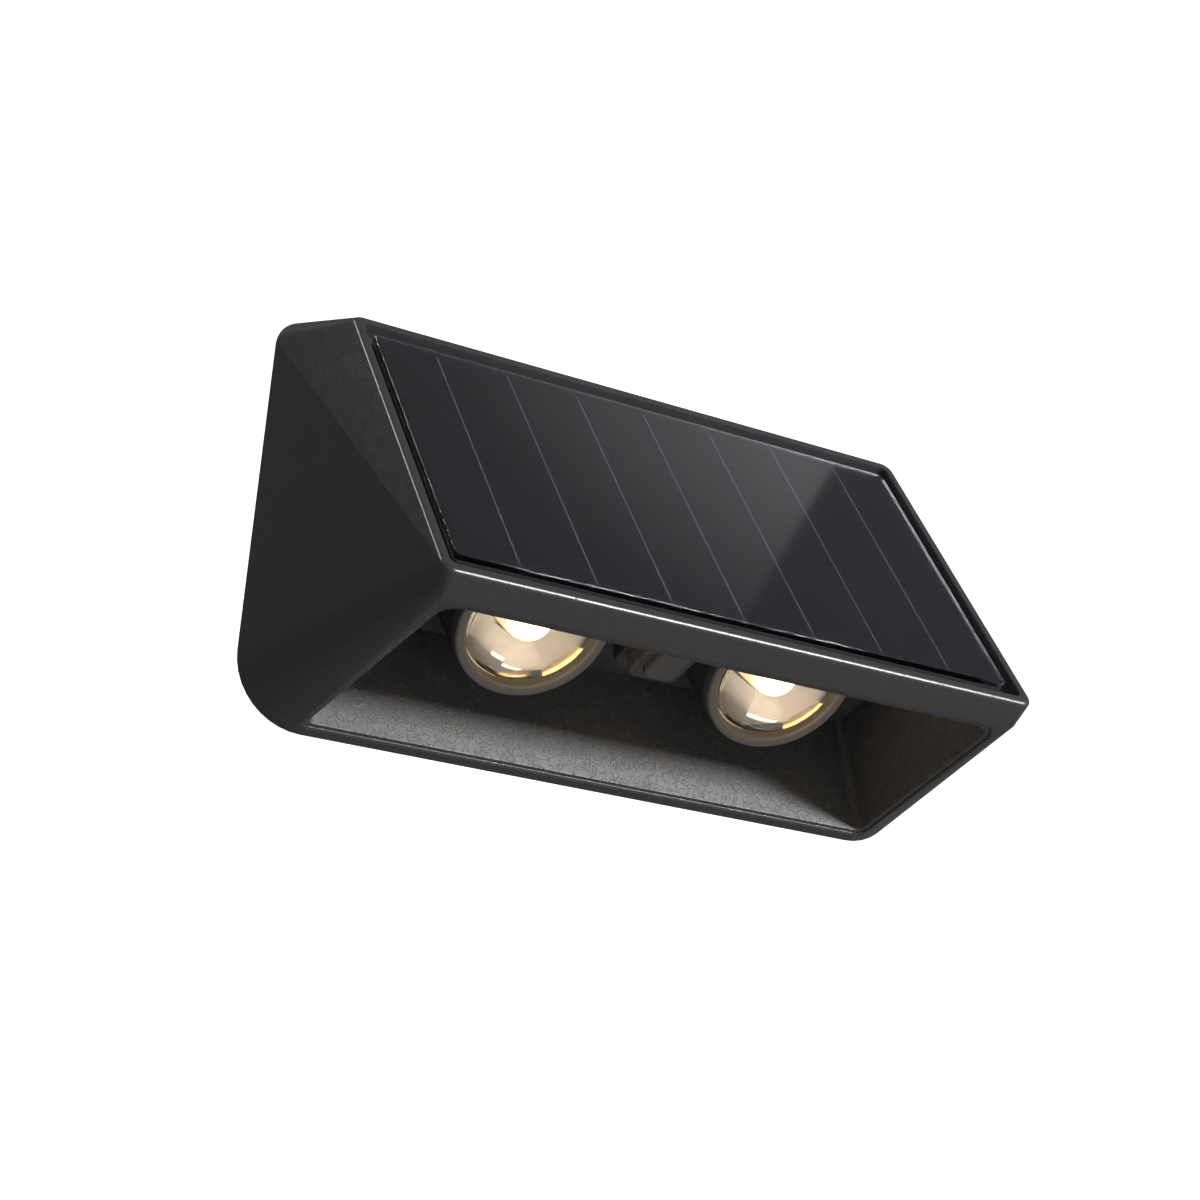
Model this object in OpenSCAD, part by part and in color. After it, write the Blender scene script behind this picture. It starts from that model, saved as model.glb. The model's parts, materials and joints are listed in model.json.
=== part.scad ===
// Twin-lens solar wall light: a wedge housing with a solar panel on its
// sloping front and two lamps in a chamber that opens downwards.
// X runs along the wall, +Y points into the wall, +Z points up.
// The origin lies on the wall plane, midway between the two hanging holes.

/* [Housing] */
// Width of the front frame
frame_w = 170.4; // [162:0.2:208]
// Width of the back along its bottom edge
back_bottom_w = 203.2; // [180:0.2:244]
// Width of the back along its top edge
back_top_w = 189.2; // [178:0.2:227]
// Height of the back
back_h = 113; // [108:0.5:136]
// Depth of the top, from the wall to the frame
top_depth = 24; // [21:0.1:29]
// Drop of the top from the wall to the frame
top_fall = 7.1; // [3:0.1:9]
// Distance of the frame's lower edge from the wall
front_depth = 79.4; // [76:0.1:95]
// Height of the frame's lower edge above the back's bottom edge
front_lift = 15.4; // [12:0.1:17]
// Thickness of the lip below the panel
lip_t = 8.3; // [7:0.1:10]
// Radius of the two lower back corners
back_bottom_r = 17.9; // [15:0.1:22]
// Radius of the two upper back corners
back_top_r = 8.8; // [5:0.1:10]
// Radius of the frame's corners
frame_corner_r = 3.7; // [3:0.1:4.5]
// Bevel on the frame's outer edge
frame_bevel = 0.8; // [0.4:0.1:1.2]
// Wall thickness of the housing
wall = 2.4; // [2:0.1:2.9]

/* [Solar panel] */
// Width of the frame's border round the panel recess
frame_border = 3; // [2.6:0.1:3.6]
// Radius of the recess corners
recess_r = 2; // [1:0.1:3]
// Depth of the recess in the front face
recess_depth = 4; // [3.8:0.1:4.4]
// Gap between the panel and the sides of the recess
panel_side_gap = 2.4; // [1:0.1:3]
// Gap between the panel and the top of the recess
panel_top_gap = 3.8; // [1:0.1:4.5]
// Gap between the panel and the bottom of the recess
panel_bottom_gap = 4.4; // [3:0.1:6]
// Thickness of the cover glass
glass_t = 1.6; // [1:0.1:1.8]
// Thickness of the cell strips
cell_t = 0.3; // [0.2:0.05:0.4]
// Thickness of the panel's circuit board
panel_board_t = 1; // [0.8:0.1:1.1]
// Thickness of the foam tape under the panel
tape_t = 0.6; // [0.4:0.1:0.7]
// Distance from one cell strip to the next
cell_pitch = 20.7; // [19:0.1:22]
// Number of cell strips
cell_count = 8; // [6:2:8]
// Gap between neighbouring cell strips
cell_gap = 0.6; // [0.5:0.1:0.8]
// Border of bare board round the cells
cell_border = 1.6; // [1:0.1:4]

/* [Lamp chamber] */
// Width of the housing's rim at the back of the opening
rim_back = 4.3; // [4.2:0.1:5]
// Width of the housing's rim at the front of the opening
rim_front = 1.6; // [1.4:0.1:2]
// Thickness of the rim that the opening is cut in
rim_t = 2.4; // [2:0.1:3]
// Half width of the opening along its back edge
opening_back = 85.2; // [82:0.1:87]
// Half width of the opening along its front edge
opening_front = 80.4; // [76:0.1:81]
// Corner radius at the back of the opening
opening_back_r = 3.4; // [2.5:0.1:5]
// Corner radius at the front of the opening
opening_front_r = 6.5; // [5:0.1:8]
// Wall thickness of the chamber
chamber_wall = 1.4; // [1.2:0.1:1.6]
// Height of the chamber's ceiling above the opening
chamber_h = 31; // [29:0.5:34]
// Thickness of the chamber's ceiling
deck_t = 2; // [1.6:0.1:2.4]
// Width of the seal round the chamber's foot
seal_w = 0.8; // [0.5:0.1:0.9]
// Inward lean of the chamber's end walls, in degrees
chamber_draft = 10; // [8:0.5:12]
// Depth of the chamber's front wall behind the front face, at the ceiling
chamber_front_depth = 7.6; // [7.4:0.1:8.2]

/* [Lamps] */
// Distance of each lamp from the middle
lamp_x = 37; // [34:0.5:42]
// Distance of the lamp's front ring from the wall
lamp_out = 36.5; // [35:0.5:38]
// Height of the lamp's front ring above the bottom edge
lamp_up = 25.1; // [24.5:0.1:27]
// Tilt of the lamps towards the front, in degrees
lamp_tilt = 36; // [34:0.5:38]
// Outer radius of the front ring and the barrel
bezel_r = 20.4; // [19:0.1:20.6]
// Width of the front ring's face round the clear dome
ring_face_w = 3.1; // [3:0.1:5]
// Height of the dome in front of the lens flange
dome_h = 6.2; // [4:0.1:8]
// Height of the front ring
bezel_h = 3.6; // [3:0.1:4.5]
// Wall thickness of the barrel
barrel_wall = 1.8; // [1.5:0.1:2]
// Depth of the barrel's floor behind the front ring
barrel_depth = 10.4; // [10:0.1:12]
// Thickness of the barrel's floor
barrel_floor_t = 2; // [1.6:0.1:2.4]
// Thickness of the lens flange
lens_flange_t = 2.4; // [1.6:0.1:2.6]
// Thickness of the lens gasket
lens_gasket_t = 0.8; // [0.5:0.1:1]
// Radius of the light hole in the barrel's floor
light_hole_r = 6.6; // [6:0.1:8]
// Thickness of the lamp's circuit board
led_board_t = 1.6; // [1.2:0.1:2]

/* [Push button] */
// Width of the button cap
button_w = 8.4; // [7:0.1:9]
// Length of the button cap
button_l = 13; // [11:0.1:14]
// Corner radius of the button cap
button_r = 2.2; // [1.5:0.1:3]
// Distance of the cap's face from the wall
button_out = 39.6; // [38:0.1:41]
// Height of the cap's face above the bottom edge
button_up = 21.8; // [20:0.1:23]
// Tilt of the cap's face towards the front, in degrees
button_tilt = 13; // [10:0.5:16]
// Height of the cap above its boss
button_rise = 1.8; // [1.5:0.1:2.5]
// Travel of the button
button_travel = 1; // [0.5:0.1:1.2]

/* [Rear cover and mounting] */
// Thickness of the rear cover
cover_t = 2; // [1.6:0.1:2.2]
// Thickness of the rear gasket
gasket_t = 0.6; // [0.4:0.1:0.8]
// Width of the gasket and the ledge behind it
ledge_w = 2.2; // [1.8:0.1:3]
// Height of the hanging holes above the bottom edge
hang_up = 80; // [78:0.5:84]
// Distance between the two hanging holes
hang_spacing = 100; // [98:1:120]
// Radius of the hanging hole that the screw head passes
hang_head_r = 4.25; // [4:0.05:4.8]
// Radius of the slot that holds the screw shank
hang_slot_r = 2.1; // [1.8:0.1:2.4]
// Length of the slot above the hole
hang_slot_l = 7; // [6:0.5:8]
// Radius of the cover screws' shank
cover_screw_r = 1.5; // [1.2:0.1:1.6]

/* [Battery and electronics] */
// Radius of the battery cell
cell_r = 9.2; // [7:0.1:9.3]
// Length of the battery cell
cell_l = 65; // [50:0.5:66]
// Height of the battery above the bottom edge
battery_up = 58; // [57:0.5:60]
// Length of the main circuit board
board_l = 80; // [70:1:82]
// Width of the main circuit board
board_w = 26; // [22:0.5:27]
// Thickness of the main circuit board
board_t = 1.6; // [1:0.1:1.6]
// Height of the pillars that carry the main circuit board
pillar_h = 4; // [3:0.5:5]
// Diameter of the internal leads
lead_d = 1.6; // [1.2:0.1:1.8]

/* [Hidden] */
$fn = 64;
hull_fn = 32;
eps = 0.01;
overcut = 1;
clearance = 0.3;
slide_fit = 0.15;
thread_gap = 0.15;

// ---- Side profile: the front face and the sloping opening ----
face_rise = back_h - top_fall - front_lift;
face_run = front_depth - top_depth;
face_len = norm([face_run, face_rise]);
face_angle = atan2(face_rise, face_run);
lip_out = front_depth - lip_t * sin(face_angle);
lip_up = front_lift - lip_t * cos(face_angle);
floor_len = norm([lip_out, lip_up]);
floor_angle = atan2(lip_up, lip_out);
face_to_floor = face_angle + floor_angle;

// Slope of the housing's two sides at the back
side_angle = atan2((back_bottom_w - back_top_w) / 2, back_h);

// Forward distance, along the opening, of the plane that lies d behind the front face
function face_forward(h, d) =
    floor_len + (lip_t - d - h * cos(face_to_floor)) / sin(face_to_floor);

// Forward distance, along the opening, of the upright plane that lies d in front of the wall
function wall_forward(h, d) = (d + h * sin(floor_angle)) / cos(floor_angle);

// Distance up the front face at which a depth d lies h above the opening
function face_up(h, d) = (h - (lip_t - d) * cos(face_to_floor)) / sin(face_to_floor);

// Half width of the back at a height above the bottom edge
function back_half(up) = back_bottom_w / 2 - up * tan(side_angle);

// Every part is drawn from the middle of the bottom edge and then lifted to the origin
module on_wall() translate([0, 0, -hang_up]) children();

// Local frame of the front face: Y runs up the face and Z points out of it
module on_face() translate([0, -front_depth, front_lift]) rotate([face_angle, 0, 0]) children();

// Local frame of the opening: -Y runs forward along it and Z points into the housing
module on_floor() rotate([-floor_angle, 0, 0]) children();

// Local frame of a lamp: Z points inwards from the middle of its front ring
module on_lamp(side)
    translate([side * lamp_x, -lamp_out, lamp_up]) rotate([-lamp_tilt, 0, 0]) children();

// Local frame of the push button: Z points inwards from the middle of the cap's face
module on_button()
    translate([0, -button_out, button_up]) rotate([-button_tilt, 0, 0]) children();

// Local frame of the rear cover: Y runs up and Z points forward from the cover's inner face
module on_cover() translate([0, -cover_t, 0]) rotate([90, 0, 0]) children();

// ---- Shared shapes ----
module rounded_rect(w, l, r) {
    square([w - 2 * r, l], center = true);
    square([w, l - 2 * r], center = true);
    for (x = [-1, 1], y = [-1, 1])
        translate([x * (w / 2 - r), y * (l / 2 - r)]) circle(r);
}

module rounded_box(w, l, r, h) linear_extrude(h) rounded_rect(w, l, r);

// Four upright posts at the corners of a rectangle that stands on Y = 0
module corner_posts(w, l, r, h)
    for (x = [-1, 1], y = [r, l - r])
        translate([x * (w / 2 - r), y, 0]) cylinder(r = r, h = h, $fn = hull_fn);

// Outline of the back, drawn in from the outer edge by inset
corner_r_min = 0.4;
bottom_corner = [
    back_bottom_w / 2 - back_bottom_r * (1 + sin(side_angle)) / cos(side_angle), back_bottom_r
];
top_corner = [
    back_top_w / 2 - back_top_r * (1 - sin(side_angle)) / cos(side_angle), back_h - back_top_r
];
corner_steps = 8;

function arc(middle, r, from, to) = [for (i = [0 : corner_steps])
    let (turn = from + (to - from) * i / corner_steps)
    middle + r * [cos(turn), sin(turn)]];

function mirrored(points) = [for (i = [len(points) - 1 : -1 : 0]) [-points[i][0], points[i][1]]];

module back_outline(inset) {
    right = concat(
        arc(bottom_corner, back_bottom_r - inset, -90, side_angle),
        arc(top_corner, max(back_top_r - inset, corner_r_min), side_angle, 90)
    );
    polygon(concat(right, mirrored(right)));
}

module screw(head_r, head_h, shank_r, shank_l) {
    difference() {
        translate([0, 0, -head_h]) cylinder(r = head_r, h = head_h);
        for (turn = [0, 90])
            translate([0, 0, -head_h])
                rotate(turn) cube([head_r * 1.2, head_r * 0.3, head_h], center = true);
    }
    cylinder(r = shank_r, h = shank_l);
}

module small_screw(shank_l) screw(small_head_r, small_head_h, small_shank_r, shank_l);

// ---- Housing ----
module housing_outside() {
    hull() {
        rotate([90, 0, 0]) linear_extrude(eps) back_outline(0);
        on_face() translate([0, 0, -lip_t])
            corner_posts(frame_w, face_len, frame_corner_r, lip_t - frame_bevel);
        on_face() translate([0, frame_bevel, -frame_bevel])
            corner_posts(frame_w - 2 * frame_bevel, face_len - 2 * frame_bevel,
                frame_corner_r - frame_bevel, frame_bevel);
    }
}

// The compartment starts behind the recess floor
recess_floor_t = 1.6;
inside_depth = recess_depth + recess_floor_t;
inside_low = face_up(rim_t, inside_depth);
inside_r = 2;
module housing_inside() {
    hull() {
        translate([0, overcut, 0]) rotate([90, 0, 0])
            linear_extrude(overcut) back_outline(wall);
        on_face() translate([0, inside_low, -inside_depth - eps])
            corner_posts(frame_w - 2 * wall, face_len - inside_low - wall, inside_r, eps);
    }
}

// ---- Chamber envelope, grown outwards from the open space by grow ----
opening_air = rim_back + slide_fit + chamber_wall;
opening_forward = floor_len - rim_front;
side_lean = (opening_back - opening_front) / (opening_forward - rim_back);
front_foot = opening_forward - slide_fit - chamber_wall;
front_lean = (front_foot - face_forward(chamber_h, chamber_front_depth)) / chamber_h;

// Half width of the chamber's open space at a place along and above the opening
function chamber_half(forward, h) =
    opening_back - slide_fit - chamber_wall
    - side_lean * (forward - rim_back) - h * tan(chamber_draft);

module chamber_post(forward, h, grow, r)
    for (side = [-1, 1])
        translate([side * (chamber_half(forward, h) - r), -forward, h])
            cylinder(r = r + grow, h = eps, $fn = hull_fn);

module chamber_envelope(grow, low, high) {
    back_r = opening_back_r - chamber_wall;
    front_r = opening_front_r - chamber_wall;
    on_floor() hull() {
        chamber_post(wall_forward(low, opening_air) + back_r, low, grow, back_r);
        chamber_post(wall_forward(high, opening_air) + back_r, high, grow, back_r);
        chamber_post(front_foot - low * front_lean - front_r, low, grow, front_r);
        chamber_post(front_foot - high * front_lean - front_r, high, grow, front_r);
    }
}

// ---- Fixing screws ----
small_head_r = 2;
small_head_h = 1.4;
small_shank_r = 1;
small_hole_r = small_shank_r + 0.3;
small_pilot_r = small_shank_r + thread_gap;

// ---- Rear cover screws: three down each side ----
cover_screw_ups = [0.2 * back_h, 0.54 * back_h, 0.87 * back_h];
cover_boss_r = 3.6;
cover_boss_l = 11;
cover_boss_off = 1.2;
cover_web_t = 2;
cover_web_w = cover_boss_r + cover_boss_off + wall + 0.8;
function cover_screw_x(up) = back_half(up) - wall - cover_boss_off - cover_boss_r;

module at_cover_screws()
    for (side = [-1, 1], up = cover_screw_ups)
        translate([side * cover_screw_x(up), up, 0]) children();

// ---- Chamber screws: two ears at each end of the chamber ----
ear_forwards = [15, 28];
ear_low = 6.4;
ear_t = 1.8;
post_r = 3;
ear_reach = 4.8;
root = 0.4;
function ear_x(forward) = chamber_half(forward, ear_low) + chamber_wall + post_r + 2 * clearance;

module at_ears()
    on_floor() for (side = [-1, 1], forward = ear_forwards)
        translate([side * ear_x(forward), -forward, 0]) children();

// Hole in the recess floor through which the panel's lead passes
lead_hole_r = 2.5;
lead_hole_up = 62;

module housing() {
    ledge_y = cover_t + gasket_t;
    ledge_t = 2;
    color([0.16, 0.16, 0.165]) on_wall() difference() {
        union() {
            difference() {
                housing_outside();
                housing_inside();
            }
            // Ledge, bosses and posts, kept inside the outer skin
            intersection() {
                housing_outside();
                union() {
                    translate([0, -ledge_y, 0]) rotate([90, 0, 0]) {
                        linear_extrude(ledge_t) difference() {
                            back_outline(wall - root);
                            back_outline(wall + ledge_w);
                        }
                        at_cover_screws() cylinder(r = cover_boss_r, h = cover_boss_l);
                    }
                    for (side = [-1, 1], up = cover_screw_ups)
                        translate([side * (cover_screw_x(up) + cover_web_w / 2),
                                -ledge_y - cover_boss_l / 2, up])
                            cube([cover_web_w, cover_boss_l, cover_web_t], center = true);
                    at_ears() translate([0, 0, rim_t - root])
                        cylinder(r = post_r, h = ear_low - rim_t + root);
                }
            }
        }
        // Straight-sided seat for the rear cover
        translate([0, overcut, 0]) rotate([90, 0, 0]) linear_extrude(ledge_y + overcut)
            back_outline(wall);
        chamber_envelope(chamber_wall + slide_fit, -overcut, rim_t + eps);
        chamber_envelope(chamber_wall + seal_w + slide_fit, rim_t, chamber_h + deck_t + overcut);
        translate([0, -ledge_y, 0]) rotate([90, 0, 0]) at_cover_screws()
            translate([0, 0, -eps]) cylinder(r = cover_screw_r + thread_gap, h = cover_boss_l - 1);
        at_ears() translate([0, 0, rim_t + root]) cylinder(r = small_pilot_r, h = ear_low);
        on_face() translate([0, face_len / 2, -recess_depth])
            rounded_box(frame_w - 2 * frame_border, face_len - 2 * frame_border, recess_r,
                recess_depth + overcut);
        on_face() translate([0, lead_hole_up, -inside_depth - overcut])
            cylinder(r = lead_hole_r, h = inside_depth);
    }
}

// ---- Lamp chamber: liner, ceiling, two lamp barrels and the button boss ----
barrel_bore_r = bezel_r - barrel_wall;
dome_r = bezel_r - ring_face_w;
barrel_back = barrel_depth + barrel_floor_t;
barrel_skirt = 2;
led_screw_out = 12;
led_head_r = 1.6;
led_shank_r = 0.85;
foot_recess = 0.3;
boss_floor_t = 2;
switch_top = 7.6;
switch_h = 3.6;
switch_seat = switch_top + switch_h;
switch_board_t = 1.2;
switch_board_w = 11.4;
switch_board_l = 23.4;
switch_screw_out = 9.8;
switch_head_r = 1.4;
switch_shank_r = 0.7;
boss_r = 3;
boss_side = 3;
switch_side = 2.3;
switch_pilot_l = 4;

module barrel(side) {
    // The cup that holds the lamp
    on_lamp(side) translate([0, 0, bezel_h])
        cylinder(r = bezel_r, h = barrel_back + led_board_t + barrel_skirt - bezel_h);
    // The skirt that carries the cup down from the ceiling
    intersection() {
        on_lamp(side) translate([0, 0, bezel_h]) cylinder(r = bezel_r, h = chamber_h);
        chamber_envelope(chamber_wall, rim_t, chamber_h + deck_t);
    }
}

module barrel_bores(side) on_lamp(side) {
    // Room for the front ring where it meets the ceiling
    translate([0, 0, -bezel_h]) cylinder(r = bezel_r + slide_fit, h = 2 * bezel_h);
    cylinder(r = barrel_bore_r, h = barrel_depth);
    translate([0, 0, barrel_back]) cylinder(r = barrel_bore_r, h = 2 * chamber_h);
    cylinder(r = light_hole_r, h = chamber_h);
    for (x = [-1, 1]) translate([x * led_screw_out, 0, 0])
        cylinder(r = led_shank_r + thread_gap, h = chamber_h);
}

module button_boss() intersection() {
    on_button() {
        translate([0, 0, button_rise])
            rounded_box(button_w + 2 * boss_side, button_l + 2 * boss_side, boss_r, chamber_h);
        translate([0, 0, switch_top])
            rounded_box(switch_board_w + 2 * switch_side, switch_board_l + 2 * switch_side,
                boss_r, chamber_h);
    }
    on_floor() translate([-frame_w / 2, -floor_len, 0])
        cube([frame_w, floor_len, chamber_h + deck_t]);
}

module button_boss_bores() on_button() {
    rounded_box(button_w + 2 * clearance, button_l + 2 * clearance, button_r + clearance,
        switch_top);
    translate([0, 0, button_rise + boss_floor_t])
        rounded_box(cap_flange_w + 2 * clearance, cap_flange_l + 2 * clearance,
            button_r + 2 * clearance, chamber_h);
    translate([0, 0, switch_seat])
        rounded_box(switch_board_w + 2 * clearance, switch_board_l + 2 * clearance, 1, chamber_h);
    for (y = [-1, 1]) translate([0, y * switch_screw_out, switch_seat - switch_pilot_l])
        cylinder(r = switch_shank_r + thread_gap, h = switch_pilot_l + overcut);
}

module lamp_chamber() {
    color([0.15, 0.15, 0.15]) on_wall() difference() {
        union() {
            difference() {
                chamber_envelope(chamber_wall, foot_recess, chamber_h + deck_t);
                chamber_envelope(0, -overcut, chamber_h);
            }
            for (side = [-1, 1]) barrel(side);
            button_boss();
            at_ears() translate([0, 0, ear_low]) cylinder(r = post_r, h = ear_t);
            on_floor() for (side = [-1, 1], forward = ear_forwards)
                translate([side * (ear_x(forward) - ear_reach / 2), -forward, ear_low + ear_t / 2])
                    cube([ear_reach, 2 * post_r, ear_t], center = true);
        }
        for (side = [-1, 1]) barrel_bores(side);
        button_boss_bores();
        at_ears() cylinder(r = small_hole_r, h = ear_low + ear_t + overcut);
    }
}

seal_t = 0.8;

module chamber_seal() {
    color([0.08, 0.08, 0.08]) on_wall() difference() {
        chamber_envelope(chamber_wall + seal_w, rim_t, rim_t + seal_t);
        chamber_envelope(chamber_wall, 0, rim_t + seal_t + overcut);
    }
}

module chamber_screws() {
    color("silver") on_wall() at_ears()
        translate([0, 0, ear_low + ear_t]) rotate([180, 0, 0]) small_screw(ear_t + 2.8);
}

// ---- Rear cover, gasket and screws ----
pocket_wall = 1.4;
pocket_air = 1.1;
pocket_w = 2 * (hang_head_r + pocket_air + pocket_wall);
pocket_l = pocket_w + hang_slot_l;
pocket_depth = 5;
pocket_r = 3;
cover_hole_r = cover_screw_r + 0.2;
cover_head_r = 2 * cover_screw_r;
cover_head_h = 1.2;
cover_head_sink = 0.1;
pillar_r = 2.6;
board_up = 88;
board_screw_x = board_l / 2 - 4;
board_screw_y = board_w / 2 - 3.5;
tray_t = 2;
tray_end = 1.6;
cell_z = tray_t + clearance + cell_r;
contact_t = 0.5;
spring_l = 2.1;
nub_h = 1.2;
tray_left = cell_l / 2 + spring_l + contact_t;
tray_right = cell_l / 2 + nub_h + contact_t;
tray_ear_r = 3.4;
tray_ear_x = tray_left + tray_end + tray_ear_r;
tray_pilot_l = 1.2;

module at_hang_holes() for (side = [-1, 1])
    translate([side * hang_spacing / 2, hang_up, 0]) children();

module at_board_screws() for (x = [-1, 1], y = [-1, 1])
    translate([x * board_screw_x, board_up + y * board_screw_y, 0]) children();

module at_tray_ears() for (side = [-1, 1])
    translate([side * tray_ear_x, battery_up, 0]) children();

module rear_cover() {
    color([0.12, 0.12, 0.12]) on_wall() on_cover() difference() {
        union() {
            translate([0, 0, -cover_t]) linear_extrude(cover_t) back_outline(wall + clearance);
            at_hang_holes() translate([0, hang_slot_l / 2, 0])
                rounded_box(pocket_w, pocket_l, pocket_r, pocket_depth + pocket_wall);
            at_board_screws() cylinder(r = pillar_r, h = pillar_h);
        }
        at_hang_holes() {
            translate([0, 0, -cover_t - overcut]) cylinder(r = hang_head_r, h = cover_t + 2 * overcut);
            translate([-hang_slot_r, 0, -cover_t - overcut])
                cube([2 * hang_slot_r, hang_slot_l, cover_t + 2 * overcut]);
            translate([0, hang_slot_l, -cover_t - overcut])
                cylinder(r = hang_slot_r, h = cover_t + 2 * overcut);
            translate([0, hang_slot_l / 2, 0])
                rounded_box(pocket_w - 2 * pocket_wall, pocket_l - 2 * pocket_wall,
                    pocket_r - pocket_wall, pocket_depth);
        }
        at_cover_screws() translate([0, 0, -cover_t - eps]) {
            cylinder(r = cover_hole_r, h = cover_t + overcut);
            cylinder(r1 = cover_head_r, r2 = cover_hole_r, h = cover_head_h);
        }
        at_board_screws() translate([0, 0, 2 * clearance]) cylinder(r = small_pilot_r, h = pillar_h);
        at_tray_ears() translate([0, 0, -tray_pilot_l])
            cylinder(r = small_pilot_r, h = tray_pilot_l + overcut);
    }
}

module rear_gasket() {
    color([0.25, 0.25, 0.26]) on_wall() on_cover() linear_extrude(gasket_t) difference() {
        back_outline(wall + clearance);
        back_outline(wall + ledge_w);
        at_cover_screws() circle(cover_boss_r + clearance);
    }
}

module cover_screws() {
    head_z = cover_head_sink - cover_t;
    color("silver") on_wall() on_cover() at_cover_screws() {
        difference() {
            translate([0, 0, head_z])
                cylinder(r1 = cover_head_r - 0.2, r2 = cover_screw_r, h = cover_head_h);
            for (turn = [0, 90]) translate([0, 0, head_z])
                rotate(turn) cube([0.9 * cover_head_r, 0.2 * cover_head_r, cover_head_h], center = true);
        }
        translate([0, 0, head_z + cover_head_h - overcut])
            cylinder(r = cover_screw_r, h = cover_boss_l - overcut);
    }
}

// ---- Solar panel, from the cover glass inwards ----
panel_w = frame_w - 2 * frame_border - 2 * panel_side_gap;
panel_l = face_len - 2 * frame_border - panel_bottom_gap - panel_top_gap;
panel_up = frame_border + panel_bottom_gap + panel_l / 2;
panel_r = 1.2;
board_inset = 0.4;
glass_low = -recess_depth + tape_t + panel_board_t + cell_t;

module on_panel(z) on_wall() on_face() translate([0, panel_up, z]) children();

module panel_glass() {
    color([0.1, 0.11, 0.13]) on_panel(glass_low) rounded_box(panel_w, panel_l, panel_r, glass_t);
}

module panel_cells() {
    edge = panel_w / 2 - cell_border;
    length = panel_l - 2 * cell_border;
    color([0.08, 0.09, 0.12]) on_panel(glass_low - cell_t) for (i = [0 : cell_count - 1]) {
        left = max(-edge, (i - cell_count / 2) * cell_pitch + cell_gap / 2);
        right = min(edge, (i + 1 - cell_count / 2) * cell_pitch - cell_gap / 2);
        translate([left, -length / 2, 0]) cube([right - left, length, cell_t]);
    }
}

module panel_ribbons() {
    ribbon_w = cell_gap / 2 + 0.1;
    length = panel_l - 2 * cell_border;
    color("silver") on_panel(glass_low - cell_t) for (i = [1 : cell_count - 1])
        translate([(i - cell_count / 2) * cell_pitch - ribbon_w / 2, -length / 2, 0])
            cube([ribbon_w, length, cell_t]);
}

module panel_board() {
    color([0.05, 0.06, 0.07]) on_panel(-recess_depth + tape_t)
        rounded_box(panel_w - board_inset, panel_l - board_inset, panel_r, panel_board_t);
}

module panel_tape() {
    tape_w = 6;
    outer_w = panel_w - 2;
    outer_l = panel_l - 2;
    color([0.2, 0.2, 0.2]) on_panel(-recess_depth) linear_extrude(tape_t) difference() {
        rounded_rect(outer_w, outer_l, panel_r);
        rounded_rect(outer_w - 2 * tape_w, outer_l - 2 * tape_w, panel_r);
    }
}

// ---- Lamps, from the front ring inwards ----
flange_top = bezel_h + 0.1;
flange_r = barrel_bore_r - clearance;
gasket_top = flange_top + lens_flange_t;
reflector_top = gasket_top + lens_gasket_t;
dome_steps = 20;

module bezel(side) {
    edge_r = 0.8;
    color([0.36, 0.36, 0.37]) on_wall() on_lamp(side) rotate_extrude() {
        translate([dome_r + clearance, edge_r])
            square([bezel_r - dome_r - clearance, bezel_h - edge_r]);
        translate([dome_r + clearance + edge_r, 0])
            square([bezel_r - dome_r - clearance - 2 * edge_r, bezel_h]);
        translate([dome_r + clearance + edge_r, edge_r]) circle(edge_r);
        translate([bezel_r - edge_r, edge_r]) circle(edge_r);
    }
}

module lens(side) {
    dome = [for (i = [0 : dome_steps])
        let (angle = 90 * i / dome_steps)
        [dome_r * cos(angle), flange_top - dome_h * sin(angle)]];
    color([0.95, 0.93, 0.88, 0.6]) on_wall() on_lamp(side) rotate_extrude()
        polygon(concat([[0, gasket_top], [flange_r, gasket_top], [flange_r, flange_top]], dome));
}

module lens_gasket(side) {
    color([0.8, 0.8, 0.78]) on_wall() on_lamp(side) translate([0, 0, gasket_top]) difference() {
        cylinder(r = flange_r, h = lens_gasket_t);
        translate([0, 0, -eps]) cylinder(r = flange_r - 2, h = lens_gasket_t + 2 * eps);
    }
}

module reflector(side) {
    rim_h = 1;
    color([0.85, 0.85, 0.86]) on_wall() on_lamp(side) rotate_extrude() polygon([
        [flange_r - 2.4, reflector_top],
        [flange_r, reflector_top],
        [flange_r, reflector_top + rim_h],
        [flange_r - 1.4, reflector_top + rim_h],
        [light_hole_r + 1.6, barrel_depth],
        [light_hole_r + 0.2, barrel_depth]
    ]);
}

module led_board(side) {
    color([0.75, 0.76, 0.77]) on_wall() on_lamp(side) translate([0, 0, barrel_back]) difference() {
        cylinder(r = barrel_bore_r - 2 * clearance, h = led_board_t);
        for (x = [-1, 1]) translate([x * led_screw_out, 0, -eps])
            cylinder(r = led_shank_r + clearance, h = led_board_t + 2 * eps);
    }
}

module led_chip(side) {
    chip_w = 8.6;
    chip_t = 0.8;
    silicone_r = chip_w / 2 - 0.1;
    color([0.95, 0.8, 0.4]) on_wall() on_lamp(side) translate([0, 0, barrel_back]) {
        translate([-chip_w / 2, -chip_w / 2, -chip_t]) cube([chip_w, chip_w, chip_t]);
        translate([0, 0, -chip_t]) intersection() {
            sphere(r = silicone_r);
            translate([0, 0, -silicone_r]) cylinder(r = chip_w, h = silicone_r);
        }
    }
}

module led_screws() {
    color("silver") on_wall() for (side = [-1, 1], x = [-1, 1])
        on_lamp(side) translate([x * led_screw_out, 0, barrel_back + led_board_t])
            rotate([180, 0, 0]) screw(led_head_r, 1.1, led_shank_r, led_board_t + barrel_floor_t - 0.2);
}

// ---- Push button and its switch ----
flange_t = 1.2;
flange_front = button_rise + boss_floor_t + clearance;
stem_end = flange_front + flange_t + 0.7;
stem_r = 1.6;
plunger_r = 1.7;
plunger_l = 3;
cap_flange_w = button_w + 2 * 0.9;
cap_flange_l = button_l + 2 * 0.9;

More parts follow.
